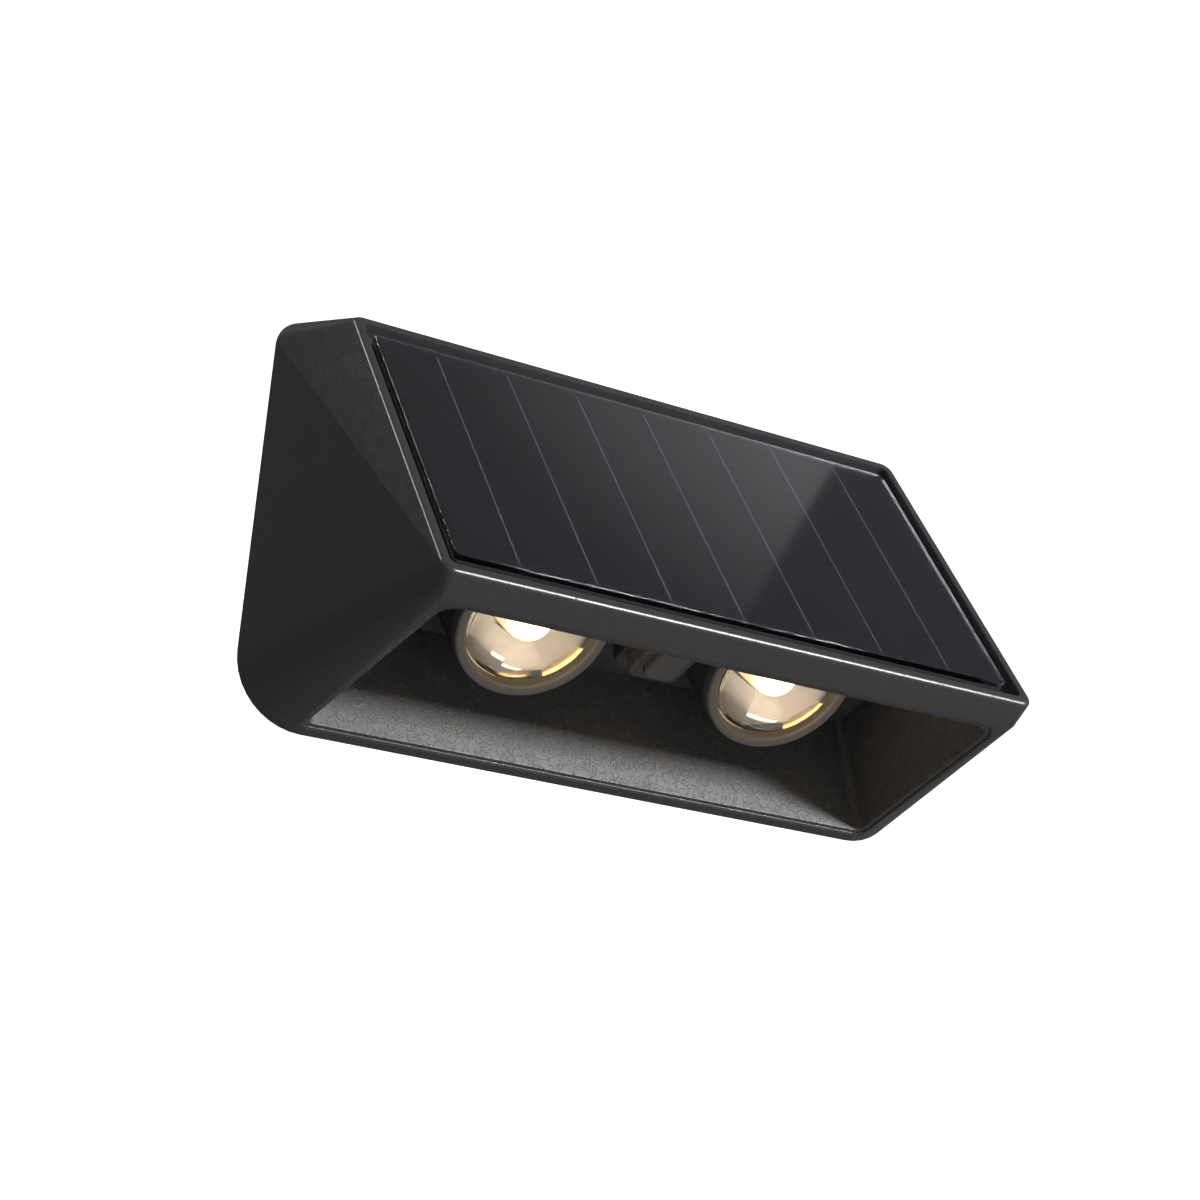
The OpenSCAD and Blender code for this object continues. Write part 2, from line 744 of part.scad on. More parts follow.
module button_cap() {
    color([0.2, 0.2, 0.2]) on_wall() on_button() {
        rounded_box(button_w, button_l, button_r, flange_front + flange_t);
        translate([0, 0, flange_front])
            rounded_box(cap_flange_w, cap_flange_l, button_r + clearance, flange_t);
        cylinder(r = stem_r, h = stem_end);
    }
}

module switch_plunger() {
    color("white") on_wall() on_button() translate([0, 0, stem_end])
        cylinder(r = plunger_r, h = plunger_l);
}

module switch_body() {
    body_w = 6;
    bore_depth = stem_end + plunger_l + button_travel + clearance - switch_top;
    color([0.1, 0.1, 0.1]) on_wall() on_button() translate([0, 0, switch_top]) difference() {
        translate([-body_w / 2, -body_w / 2, 0]) cube([body_w, body_w, switch_h]);
        translate([0, 0, -eps]) cylinder(r = plunger_r + clearance, h = bore_depth);
    }
}

module switch_board() {
    color([0.1, 0.3, 0.16]) on_wall() on_button() translate([0, 0, switch_seat]) difference() {
        rounded_box(switch_board_w, switch_board_l, 1, switch_board_t);
        for (y = [-1, 1]) translate([0, y * switch_screw_out, -eps])
            cylinder(r = switch_shank_r + clearance, h = switch_board_t + 2 * eps);
    }
}

module switch_screws() {
    color("silver") on_wall() on_button() for (y = [-1, 1])
        translate([0, y * switch_screw_out, switch_seat + switch_board_t])
            rotate([180, 0, 0])
                screw(switch_head_r, 1, switch_shank_r, switch_board_t + switch_pilot_l - 0.6);
}

// ---- Main circuit board and what it carries ----
board_top = pillar_h + board_t;
connector_xs = [-30, -18, -6, 10, 30];
connector_w = 6;
connector_l = 4;
connector_h = 5;
connector_up = board_up - board_w / 2 + 3;

module on_board() on_wall() on_cover() translate([0, board_up, board_top]) children();

module main_board() {
    color([0.1, 0.32, 0.17]) on_wall() on_cover() difference() {
        translate([0, board_up, pillar_h]) rounded_box(board_l, board_w, 1.5, board_t);
        at_board_screws() cylinder(r = small_hole_r, h = board_top + overcut);
    }
}

module charge_chip() {
    color([0.07, 0.07, 0.07]) on_board() translate([-16, 1, 0]) cube([9, 7, 1.6]);
}

module inductor() {
    rim_r = 4.5;
    rim_h = 1;
    core_r = 3.4;
    core_h = 4;
    color([0.3, 0.3, 0.3]) on_board() translate([4, 5, 0]) {
        cylinder(r = core_r, h = core_h);
        for (z = [0, core_h - rim_h]) translate([0, 0, z]) cylinder(r = rim_r, h = rim_h);
    }
}

module capacitors() {
    color([0.2, 0.25, 0.4]) on_board() for (x = [16, 24])
        translate([x, 5, 0]) cylinder(r = 3, h = 8);
}

module connectors() {
    color([0.9, 0.9, 0.85]) on_wall() on_cover() for (x = connector_xs)
        translate([x - connector_w / 2, connector_up - connector_l / 2, board_top])
            cube([connector_w, connector_l, connector_h]);
}

module board_screws() {
    color("silver") on_wall() on_cover() at_board_screws() translate([0, 0, board_top])
        rotate([180, 0, 0]) small_screw(board_t + pillar_h - 1);
}

// ---- Battery and its tray ----
module battery_cell() {
    color([0.25, 0.45, 0.6]) on_wall() on_cover() translate([-cell_l / 2, battery_up, cell_z])
        rotate([0, 90, 0]) {
            cylinder(r = cell_r, h = cell_l);
            cylinder(r = 3, h = cell_l + nub_h);
        }
}

module battery_tray() {
    side_t = 1.4;
    tray_h = cell_z + 2;
    tray_w = 2 * (cell_r + clearance + side_t);
    color([0.1, 0.1, 0.1]) on_wall() on_cover() difference() {
        union() {
            translate([-tray_left - tray_end, battery_up - tray_w / 2, 0])
                cube([tray_left + tray_right + 2 * tray_end, tray_w, tray_h]);
            at_tray_ears() cylinder(r = tray_ear_r, h = tray_t);
            translate([-tray_ear_x, battery_up - tray_ear_r, 0])
                cube([2 * tray_ear_x, 2 * tray_ear_r, tray_t]);
        }
        translate([-tray_left, battery_up, cell_z]) rotate([0, 90, 0])
            cylinder(r = cell_r + clearance, h = tray_left + tray_right);
        at_tray_ears() translate([0, 0, -eps]) cylinder(r = small_hole_r, h = tray_t + overcut);
    }
}

module battery_contacts() {
    plate_w = 8;
    plate_low = cell_z - 6;
    plate_h = 14;
    color("gold") on_wall() on_cover() translate([0, battery_up, 0]) {
        translate([tray_right - contact_t, -plate_w / 2, plate_low])
            cube([contact_t, plate_w, plate_h]);
        translate([-tray_left, -plate_w / 2, plate_low]) cube([contact_t, plate_w, plate_h]);
        translate([-tray_left + contact_t, 0, cell_z]) rotate([0, 90, 0])
            cylinder(r1 = 4, r2 = 2.4, h = spring_l);
    }
}

module tray_screws() {
    color("silver") on_wall() on_cover() at_tray_ears() translate([0, 0, tray_t])
        rotate([180, 0, 0]) small_screw(tray_t + tray_pilot_l - 0.2);
}

// ---- Internal leads: a round tube swept along a chosen route ----
lead_sides = 8;

function direction(points, i) =
    let (ahead = points[min(i + 1, len(points) - 1)], behind = points[max(i - 1, 0)])
    (ahead - behind) / norm(ahead - behind);

function lead_ring(points, i, r) =
    let (
        along = direction(points, i),
        across = cross(along, [1, 0.2, 0.1]) / norm(cross(along, [1, 0.2, 0.1])),
        over = cross(along, across)
    )
    [for (k = [0 : lead_sides - 1])
        let (turn = 360 * k / lead_sides)
        points[i] + r * (cos(turn) * across + sin(turn) * over)];

module lead(points) {
    last = len(points) - 1;
    rings = [for (i = [0 : last]) each lead_ring(points, i, lead_d / 2)];
    first_cap = [[for (k = [lead_sides - 1 : -1 : 0]) k]];
    last_cap = [[for (k = [0 : lead_sides - 1]) last * lead_sides + k]];
    walls = [for (i = [0 : last - 1], k = [0 : lead_sides - 1])
        let (
            next = (k + 1) % lead_sides,
            here = i * lead_sides + k,
            beside = i * lead_sides + next
        )
        each [[here, beside, beside + lead_sides], [here, beside + lead_sides, here + lead_sides]]];
    polyhedron(points = rings, faces = concat(first_cap, walls, last_cap), convexity = 4);
}

solar_route = [
    [0, -43, 65], [0, -40, 63], [-2, -35, 63], [-6, -30, 66], [-12, -25, 71],
    [-17, -20, 76], [-18, -16, 78], [-18, -13, 78]
];
switch_route = [
    [0, -36, 36], [0, -35, 40], [-2, -33, 46], [-4, -30, 54], [-6, -28, 62],
    [-6, -25, 70], [-6, -20, 76], [-6, -16, 78], [-6, -13, 78]
];
lamp_route = [
    [36, -28, 37], [36, -27, 41], [36, -27, 48], [36, -27, 56], [35, -26, 64],
    [33, -23, 71], [30, -19, 76], [30, -16, 78], [30, -13, 78]
];
plus_route = [
    [35.2, -18, 60], [35.2, -18, 64], [34, -19, 69], [28, -20, 72], [20, -19, 74],
    [14, -17, 76], [11, -15, 78], [11, -13, 78]
];
minus_route = [
    [-36.1, -18, 60], [-36, -18, 64], [-34, -19, 68], [-29, -18, 70], [-16, -17, 71],
    [-4, -17, 72], [5, -17, 75], [9, -15, 78], [9, -13, 78]
];

module solar_lead() {
    color("red") on_wall() lead(solar_route);
}

module battery_leads() {
    color("red") on_wall() lead(plus_route);
    color("black") on_wall() lead(minus_route);
}

module lamp_lead(side) {
    color("white") on_wall() lead([for (p = lamp_route) [side * p[0], p[1], p[2]]]);
}

module switch_lead() {
    color("yellow") on_wall() lead(switch_route);
}

housing();
lamp_chamber();
chamber_seal();
chamber_screws();
rear_cover();
rear_gasket();
cover_screws();
panel_glass();
panel_cells();
panel_ribbons();
panel_board();
panel_tape();
lens(-1);  // lens_left
lens(1);  // lens_right
bezel(-1);  // bezel_left
bezel(1);  // bezel_right
lens_gasket(-1);  // lens_gasket_left
lens_gasket(1);  // lens_gasket_right
reflector(-1);  // reflector_left
reflector(1);  // reflector_right
led_board(-1);  // led_board_left
led_board(1);  // led_board_right
led_chip(-1);  // led_chip_left
led_chip(1);  // led_chip_right
led_screws();
button_cap();
switch_plunger();
switch_body();
switch_board();
switch_screws();
main_board();
charge_chip();
inductor();
capacitors();
connectors();
board_screws();
battery_cell();
battery_tray();
battery_contacts();
tray_screws();
solar_lead();
battery_leads();
lamp_lead(-1);  // lamp_lead_left
lamp_lead(1);  // lamp_lead_right
switch_lead();
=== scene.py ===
"""Looks of the solar wall light: refined surfaces, finishes, studio and camera.

Sizes are in millimetres, unless a comment says metres, and MM makes them metres.
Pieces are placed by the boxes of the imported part. Sizes that no box gives repeat
those of part.scad, or are the looks' own where the CAD is simpler or hidden.
"""
import json
import math

import bmesh
import bpy
from mathutils import Matrix, Vector


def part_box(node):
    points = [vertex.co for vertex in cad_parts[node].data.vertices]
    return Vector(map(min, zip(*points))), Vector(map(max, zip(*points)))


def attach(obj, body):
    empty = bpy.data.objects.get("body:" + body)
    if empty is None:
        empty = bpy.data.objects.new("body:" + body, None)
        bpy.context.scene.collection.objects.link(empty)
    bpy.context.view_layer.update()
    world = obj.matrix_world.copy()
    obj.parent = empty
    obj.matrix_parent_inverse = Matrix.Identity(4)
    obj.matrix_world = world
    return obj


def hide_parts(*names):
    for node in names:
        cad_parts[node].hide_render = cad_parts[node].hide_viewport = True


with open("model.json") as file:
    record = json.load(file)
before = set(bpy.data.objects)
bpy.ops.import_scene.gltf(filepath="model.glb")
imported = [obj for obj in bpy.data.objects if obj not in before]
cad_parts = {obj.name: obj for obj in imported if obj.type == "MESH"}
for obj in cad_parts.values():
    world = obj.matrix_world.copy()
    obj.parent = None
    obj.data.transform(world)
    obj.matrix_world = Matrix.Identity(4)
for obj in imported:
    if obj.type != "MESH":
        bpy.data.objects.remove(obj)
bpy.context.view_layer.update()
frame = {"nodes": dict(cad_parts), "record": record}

MM = 0.001
SIDES = ("left", "right")


# ---- Places and sizes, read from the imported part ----
def centre(node):
    """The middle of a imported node's box, in metres."""
    low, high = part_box(node)
    return (low + high) / 2


def extent(node):
    """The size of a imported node's box, in millimetres."""
    low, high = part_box(node)
    return (high - low) / MM


def tilt(degrees):
    """A turn about X."""
    return Matrix.Rotation(math.radians(degrees), 4, "X")


def move(x, y, z):
    """A shift in millimetres."""
    return Matrix.Translation(Vector((x, y, z)) * MM)


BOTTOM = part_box("housing")[0].z
CUT_PAST = 1  # how far a cutting solid reaches past the face that it opens

# Side profile of the housing
BACK_H = extent("housing").z
BACK_BOTTOM_W = 203.2
BACK_TOP_W = 189.2
BACK_BOTTOM_R = 17.9
BACK_TOP_R = 8.8
FRAME_W = 170.4
FRAME_R = 3.7
TOP_DEPTH = 24.0
TOP_FALL = 7.1
FRONT_DEPTH = 79.4
FRONT_LIFT = 15.4
LIP_T = 8.3
WALL = 2.4
COVER_SEAT = 2.6

FACE_RISE = BACK_H - TOP_FALL - FRONT_LIFT
FACE_RUN = FRONT_DEPTH - TOP_DEPTH
FACE_LEN = math.hypot(FACE_RISE, FACE_RUN)
FACE_ANGLE = math.degrees(math.atan2(FACE_RISE, FACE_RUN))
LIP_OUT = FRONT_DEPTH - LIP_T * math.sin(math.radians(FACE_ANGLE))
LIP_UP = FRONT_LIFT - LIP_T * math.cos(math.radians(FACE_ANGLE))
FLOOR_LEN = math.hypot(LIP_OUT, LIP_UP)
FLOOR_ANGLE = math.degrees(math.atan2(LIP_UP, LIP_OUT))

# Recess and opening
FRAME_BORDER = 3.0
RECESS_R = 2.0
RECESS_DEPTH = 4.0
# Growth and height of the recess outline, from its floor up over its rounded edge
RECESS_EDGE = [(0, -RECESS_DEPTH), (0, -0.45), (0.15, -0.12), (0.45, 0), (0.45, 1)]
RECESS_FLOOR_T = 1.6
RIM_BACK = 4.3
RIM_FRONT = 1.6
RIM_T = 2.4
OPENING_BACK = 85.2
OPENING_FRONT = 80.4
OPENING_BACK_R = 3.4
OPENING_FRONT_R = 6.5
FIT = 0.15
OVERLAP = 0.01  # of two cutting solids that meet
CAVITY_R = 2
CHAMBER_WALL = 1.4
CHAMBER_H = 31.0
DECK_T = 2.0
CHAMBER_TOP = CHAMBER_H + DECK_T
FOOT_RECESS = 0.3
FOOT_RAISE = 0.25
FOOT_FLARE = 0.45
FOOT_FLARE_H = 0.5
SEAL_W = 0.8
CHAMBER_DRAFT = math.tan(math.radians(10))
CHAMBER_FRONT_DEPTH = 7.6

# Lamps and button. A lead is how far a solid starts before its seat, and a sink is how
# far it stays under its neighbour's surface, so that no faces of joined solids coincide
LAMP_TILT = 36.0
BEZEL_R = 20.4
BEZEL_H = 3.6
DOME_R = 17.3
DOME_H = 6.2
BARREL_BORE_R = 18.6
BARREL_DEPTH = 10.4
BARREL_BACK = 12.4
BARREL_END = 16.0
LIGHT_HOLE_R = 6.6
SKIRT_LEAD = 0.1
SKIRT_SINK = 0.2
CUP_LEAD = 0.05
CUP_SINK = 0.02
BEZEL_GAP = 0.3
BEZEL_EDGE = 0.8
FLANGE_TOP = 3.7
FLANGE_GAP = 0.3
LENS_BACK = 6.1
REFLECTOR_TOP = 6.9
REFLECTOR_SKIN = 0.5
FACETS = 10
# Radius and height of the reflector's facet rows, from its mouth to its light hole
REFLECTOR_ROWS = [
    (BARREL_BORE_R - 0.7, REFLECTOR_TOP),
    (BARREL_BORE_R - 3.4, REFLECTOR_TOP + 1.6),
    (LIGHT_HOLE_R + 2.6, REFLECTOR_TOP + 2.9),
    (LIGHT_HOLE_R + 0.2, BARREL_DEPTH - 0.1),
]
LED_BASE = 12.4
LED_R = 6.2
LED_SIDE_TOP = 11.4
LED_TIP = 2.2
POCKET_GAP = -0.1
BUTTON_TILT = 13.0
BUTTON_W = 8.4
BUTTON_L = 13.0
BUTTON_R = 2.2
BUTTON_RISE = 1.8
BUTTON_END = 5.3
BUTTON_EDGE = 0.7
BUTTON_GAP = 0.3
BUTTON_HOLE_LOW = -2
BOSS_SIDE = 3.0
BOSS_R = 3.0
BOSS_EDGE = 0.6
BOSS_SINK = 0.1
SWITCH_TOP = 7.6
SWITCH_BLOCK_W = 16
SWITCH_BLOCK_L = 28
SWITCH_BLOCK_SINK = 0.15
SLAB_W = 100
SLAB_L = 200
SLAB_R = 1
SLAB_LOW = 0.5
PLUNGER_R = 1.7
PLUNGER_GAP = 0.3
PLUNGER_HOLE_LOW = 1
PLUNGER_MIDDLE = 7.5

# Surface quality: steps along curves, and what counts as welded, flat or sharp
ARC_STEPS = 10
ROUND_STEPS = 5
TURN_STEPS = 96
DOME_STEPS = 28
LED_STEPS = 14
LEAST_R = 0.05
WELD_WITHIN = 1e-7
FLAT_WITHIN = math.radians(0.05)
SHARP_OVER = 32

# Local frames: Y up the face and Z out of it; -Y forward along the opening and
# Z into the housing; Z inwards along a lamp's axis or the button's travel
ON_WALL = Matrix.Translation((0, 0, BOTTOM))
ON_FACE = ON_WALL @ move(0, -FRONT_DEPTH, FRONT_LIFT) @ tilt(FACE_ANGLE)
ON_FLOOR = ON_WALL @ tilt(-FLOOR_ANGLE)
ON_LAMP = {
    side: Matrix.Translation(centre(f"bezel_{side}")) @ tilt(-LAMP_TILT) @ move(0, 0, -BEZEL_H / 2)
    for side in SIDES
}
ON_BUTTON = (Matrix.Translation(centre("switch_plunger")) @ tilt(-BUTTON_TILT)
             @ move(0, 0, -PLUNGER_MIDDLE))

# The panel's cover glass lies on the face, so its upright size gives its length
PANEL_W = extent("panel_glass").x
PANEL_T = 1.6
PANEL_SLOPE = math.radians(FACE_ANGLE)
PANEL_LEN = (extent("panel_glass").z - PANEL_T * math.cos(PANEL_SLOPE)) / math.sin(PANEL_SLOPE)
PANEL_CORNER_R = 1.2
GLASS_LIFT = 0.04
GLASS_EDGE = 0.12
ON_PANEL = Matrix.Translation(centre("panel_glass")) @ tilt(FACE_ANGLE)


# ---- Mesh helpers ----
def new_object(name, mesh):
    """A scene object that holds the mesh, light or camera data."""
    made = bpy.data.objects.new(name, mesh)
    bpy.context.scene.collection.objects.link(made)
    return made


def points_at(place, flat, z):
    """Flat millimetre points lifted to height z and set in place, in metres."""
    return [place @ (Vector((x, y, z)) * MM) for x, y in flat]


def mesh_from(name, verts, faces):
    """An object from points and faces, welded, with its faces turned outwards."""
    mesh = bpy.data.meshes.new(name)
    mesh.from_pydata([tuple(v) for v in verts], [], faces)
    tidy = bmesh.new()
    tidy.from_mesh(mesh)
    bmesh.ops.remove_doubles(tidy, verts=tidy.verts, dist=WELD_WITHIN)
    bmesh.ops.recalc_face_normals(tidy, faces=tidy.faces)
    tidy.to_mesh(mesh)
    tidy.free()
    return new_object(name, mesh)


def band_faces(levels, count, closed):
    """Faces between levels of count points, and back to the first level when closed."""
    faces = []
    for level in range(levels if closed else levels - 1):
        above = (level + 1) % levels
        for k in range(count):
            beside = (k + 1) % count
            faces.append([level * count + k, level * count + beside,
                          above * count + beside, above * count + k])
    return faces


def loft(name, rings):
    """A closed solid through rings that all have the same number of points."""
    count = len(rings[0])
    verts = [point for ring in rings for point in ring]
    foot = list(range(count))[::-1]
    top = list(range((len(rings) - 1) * count, len(rings) * count))
    return mesh_from(name, verts, [foot, top] + band_faces(len(rings), count, closed=False))


def hull(name, points):
    """The convex solid round the points, with flat sides kept whole."""
    made = bmesh.new()
    for point in points:
        made.verts.new(point)
    result = bmesh.ops.convex_hull(made, input=made.verts)
    spare = [v for v in result["geom_interior"] if isinstance(v, bmesh.types.BMVert)]
    bmesh.ops.delete(made, geom=spare, context="VERTS")
    loose = [v for v in made.verts if not v.link_faces]
    bmesh.ops.delete(made, geom=loose, context="VERTS")
    bmesh.ops.dissolve_limit(made, angle_limit=FLAT_WITHIN, verts=made.verts, edges=made.edges)
    bmesh.ops.recalc_face_normals(made, faces=made.faces)
    mesh = bpy.data.meshes.new(name)
    made.to_mesh(mesh)
    made.free()
    return new_object(name, mesh)


def turned_ring(place, radius, height, count, start=0.0):
    """Points round Z; start is the first one's share of a step."""
    turns = [2 * math.pi * (k + start) / count for k in range(count)]
    return [place @ (Vector((radius * math.cos(t), radius * math.sin(t), height)) * MM)
            for t in turns]


def revolve(name, place, profile):
    """A solid turned round Z from (radius, height) points.

    The profile's ends both lie on the axis, or it closes on itself as a ring does.
    """
    on_axis = profile[0][0] == 0 and profile[-1][0] == 0
    turned = profile[1:-1] if on_axis else profile
    verts = []
    for radius, height in turned:
        verts += turned_ring(place, radius, height, TURN_STEPS)
    faces = band_faces(len(turned), TURN_STEPS, closed=not on_axis)
    if on_axis:
        for level, (_, height) in ((0, profile[0]), (len(turned) - 1, profile[-1])):
            verts.append(place @ Vector((0, 0, height * MM)))
            for k in range(TURN_STEPS):
                faces.append([level * TURN_STEPS + k, level * TURN_STEPS + (k + 1) % TURN_STEPS,
                              len(verts) - 1])
    return mesh_from(name, verts, faces)


def combine(target, tools, operation):
    """Cuts the tools from the target, joins them to it, or keeps what they share."""
    for tool in tools:
        step = target.modifiers.new(operation, "BOOLEAN")
        step.operation = operation
        step.solver = "EXACT"
        step.object = tool
    bpy.context.view_layer.update()
    graph = bpy.context.evaluated_depsgraph_get()
    mesh = bpy.data.meshes.new_from_object(target.evaluated_get(graph))
    target.modifiers.clear()
    target.data = mesh
    for tool in tools:
        bpy.data.objects.remove(tool)
    return target


def smooth(piece, sharp_over=SHARP_OVER):
    """Shades the piece smooth, but for edges sharper than an angle in degrees."""
    piece.data.shade_smooth()
    piece.data.set_sharp_from_angle(angle=math.radians(sharp_over))
    weighted = piece.modifiers.new("weighted normals", "WEIGHTED_NORMAL")
    weighted.keep_sharp = True
    return piece


# ---- Outlines ----
def arc(middle, radius, start, end):
    """Points along an arc, from start to end in degrees."""
    turns = [math.radians(start + (end - start) * i / ARC_STEPS) for i in range(ARC_STEPS + 1)]
    return [(middle[0] + radius * math.cos(t), middle[1] + radius * math.sin(t)) for t in turns]


def rounded_rect(width, length, radius, inset=0.0, middle=(0, 0)):
    """Outline of a rectangle with round corners, drawn in by the inset."""
    half_w = width / 2 - inset
    half_l = length / 2 - inset
    r = max(radius - inset, LEAST_R)
    corners = [(1, 1, 0), (-1, 1, 90), (-1, -1, 180), (1, -1, 270)]
    return [
        point
        for sx, sy, start in corners
        for point in arc((middle[0] + sx * (half_w - r), middle[1] + sy * (half_l - r)),
                         r, start, start + 90)
    ]


def back_outline(inset):
    """Outline of the back, drawn in by the inset: wider and rounder at its foot."""
    lean = math.atan2((BACK_BOTTOM_W - BACK_TOP_W) / 2, BACK_H)
    slope = math.degrees(lean)
    bottom = (BACK_BOTTOM_W / 2 - BACK_BOTTOM_R * (1 + math.sin(lean)) / math.cos(lean),
              BACK_BOTTOM_R)
    top = (BACK_TOP_W / 2 - BACK_TOP_R * (1 - math.sin(lean)) / math.cos(lean),
           BACK_H - BACK_TOP_R)
    right = (arc(bottom, BACK_BOTTOM_R - inset, -90, slope)
             + arc(top, BACK_TOP_R - inset, slope, 90))
    return right + [(-x, y) for x, y in reversed(right)]


def on_back(points, depth):
    """Back outline points set upright, depth in front of the wall plane."""
    return [ON_WALL @ (Vector((x, -depth, y)) * MM) for x, y in points]


def rounding(radius):
    """(inset, depth) steps of a quarter-round edge, from the side to the face."""
    turns = [math.pi / 2 * k / ROUND_STEPS for k in range(ROUND_STEPS + 1)]
    return [(radius * (1 - math.cos(t)), radius * (1 - math.sin(t))) for t in turns]


def rounded_block(name, place, width, length, radius, low, high, edge):
    """A rounded bar along Z whose low end has a quarter-round edge."""
    rings = [points_at(place, rounded_rect(width, length, radius), high)]
    for inset, depth in rounding(edge):
        rings.append(points_at(place, rounded_rect(width, length, radius, inset), low + depth))
    return loft(name, rings)


# ---- Housing ----
FACE_EDGE_R = 1.3
BACK_EDGE_R = 0.6
RIM_EDGE = 0.35
FACE_MIDDLE = (0, FACE_LEN / 2)


def face_forward(height, depth):
    """Distance along the opening of the plane that lies depth behind the front face."""
    corner = math.radians(FACE_ANGLE + FLOOR_ANGLE)
    return FLOOR_LEN + (LIP_T - depth - height * math.cos(corner)) / math.sin(corner)


def wall_forward(height, depth):
    """Distance along the opening of the plane that lies depth in front of the wall."""
    slope = math.radians(FLOOR_ANGLE)
    return (depth + height * math.sin(slope)) / math.cos(slope)


def face_up(height, depth):
    """Distance up the plane depth behind the face, where it is height over the opening."""
    corner = math.radians(FACE_ANGLE + FLOOR_ANGLE)
    return (height - (LIP_T - depth) * math.cos(corner)) / math.sin(corner)


SIDE_LEAN = (OPENING_BACK - OPENING_FRONT) / (FLOOR_LEN - RIM_FRONT - RIM_BACK)
OPENING_AIR = RIM_BACK + FIT + CHAMBER_WALL
FRONT_FOOT = FLOOR_LEN - RIM_FRONT - FIT - CHAMBER_WALL
FRONT_LEAN = (FRONT_FOOT - face_forward(CHAMBER_H, CHAMBER_FRONT_DEPTH)) / CHAMBER_H


def chamber_half(forward, height):
    """Half the width of the chamber's open space, forward along the opening."""
    return (OPENING_BACK - FIT - CHAMBER_WALL - SIDE_LEAN * (forward - RIM_BACK)
            - height * CHAMBER_DRAFT)


def chamber_section(grow, height):
    """Outline of the chamber's open space, grown outwards, at a height over the opening."""
    back_r = OPENING_BACK_R - CHAMBER_WALL
    front_r = OPENING_FRONT_R - CHAMBER_WALL
    back = wall_forward(height, OPENING_AIR) + back_r
    front = FRONT_FOOT - height * FRONT_LEAN - front_r
    right = (arc((chamber_half(front, height) - front_r, -front), front_r + grow, -90, 0)
             + arc((chamber_half(back, height) - back_r, -back), back_r + grow, 0, 90))
    return right + [(-x, y) for x, y in reversed(right)]


def chamber_solid(name, levels):
    """A solid through chamber sections, from (height, grow) levels."""
    return loft(name, [points_at(ON_FLOOR, chamber_section(grow, height), height)
                       for height, grow in levels])


def housing_outside():
    """The solid wedge, with its back and front edges rounded."""
    points = []
    for inset, depth in rounding(BACK_EDGE_R):
        points += on_back(back_outline(inset), depth)
    points += points_at(ON_FACE, rounded_rect(FRAME_W, FACE_LEN, FRAME_R, 0, FACE_MIDDLE), -LIP_T)
    for inset, depth in rounding(FACE_EDGE_R):
        points += points_at(ON_FACE, rounded_rect(FRAME_W, FACE_LEN, FRAME_R, inset, FACE_MIDDLE),
                            -depth)
    return hull("housing_shell", points)


def housing_cavity():
    """The hollow behind the walls and under the panel's recess."""
    inside_depth = RECESS_DEPTH + RECESS_FLOOR_T
    low = face_up(RIM_T, inside_depth)
    length = FACE_LEN - low - WALL
    front = rounded_rect(FRAME_W - 2 * WALL, length, CAVITY_R, 0, (0, low + length / 2))
    points = on_back(back_outline(WALL), -CUT_PAST) + on_back(back_outline(WALL), 0)
    points += points_at(ON_FACE, front, -inside_depth)
    return hull("cavity", points)


def panel_recess():
    """The shallow room for the panel, with a rounded edge."""
    width = FRAME_W - 2 * FRAME_BORDER
    length = FACE_LEN - 2 * FRAME_BORDER
    rings = []
    for grow, height in RECESS_EDGE:
        outline = rounded_rect(width, length, RECESS_R, -grow, FACE_MIDDLE)
        rings.append(points_at(ON_FACE, outline, height))
    return loft("recess", rings)


def housing():
    """The shell: hollow, with a cover seat, a mouth, a chamber pocket and a panel recess."""
    shell = housing_outside()
    seat = loft("seat", [on_back(back_outline(WALL), -CUT_PAST),
                         on_back(back_outline(WALL), COVER_SEAT)])
    mouth_grow = CHAMBER_WALL + FIT
    mouth = chamber_solid("mouth", [(-CUT_PAST, mouth_grow + RIM_EDGE + CUT_PAST),
                                    (RIM_EDGE, mouth_grow), (RIM_T + OVERLAP, mouth_grow)])
    pocket_grow = mouth_grow + SEAL_W
    pocket = chamber_solid("pocket", [(RIM_T, pocket_grow), (CHAMBER_TOP + CUT_PAST, pocket_grow)])
    recess = panel_recess()
    combine(shell, [housing_cavity(), seat, mouth, pocket, recess], "DIFFERENCE")
    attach(smooth(shell), "fixture")
    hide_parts("housing")
    shell.data.materials.append(moulded_plastic("housing plastic", "housing_plastic",
                                                HOUSING_GRAIN, HOUSING_ROUGHNESS))


# ---- Lamp chamber ----
def cylinder(name, place, radius, low, high):
    """A plain turned solid from low to high."""
    return revolve(name, place, [(0, low), (radius, low), (radius, high), (0, high)])


def lamp_bore(side):
    """The stepped hollow of a barrel: ring room, lens bore, light hole and board room."""
    back = 2 * CHAMBER_H
    return revolve("lamp bore", ON_LAMP[side], [
        (0, -BEZEL_H), (BEZEL_R + FIT, -BEZEL_H), (BEZEL_R + FIT, BEZEL_H), (BARREL_BORE_R, BEZEL_H),
        (BARREL_BORE_R, BARREL_DEPTH), (LIGHT_HOLE_R, BARREL_DEPTH), (LIGHT_HOLE_R, BARREL_BACK),
        (BARREL_BORE_R, BARREL_BACK), (BARREL_BORE_R, back), (0, back),
    ])


def chamber_shell():
    """The chamber's drafted box, open at its foot, where the inside edge is flared."""
    shell = chamber_solid("lamp_chamber_shell", [(FOOT_RECESS + FOOT_RAISE, CHAMBER_WALL),
                                                 (CHAMBER_TOP, CHAMBER_WALL)])
    air = chamber_solid("air", [(FOOT_RECESS - CUT_PAST, FOOT_FLARE),
                                (FOOT_RECESS + FOOT_FLARE_H, 0), (CHAMBER_H, 0)])
    return combine(shell, [air], "DIFFERENCE")


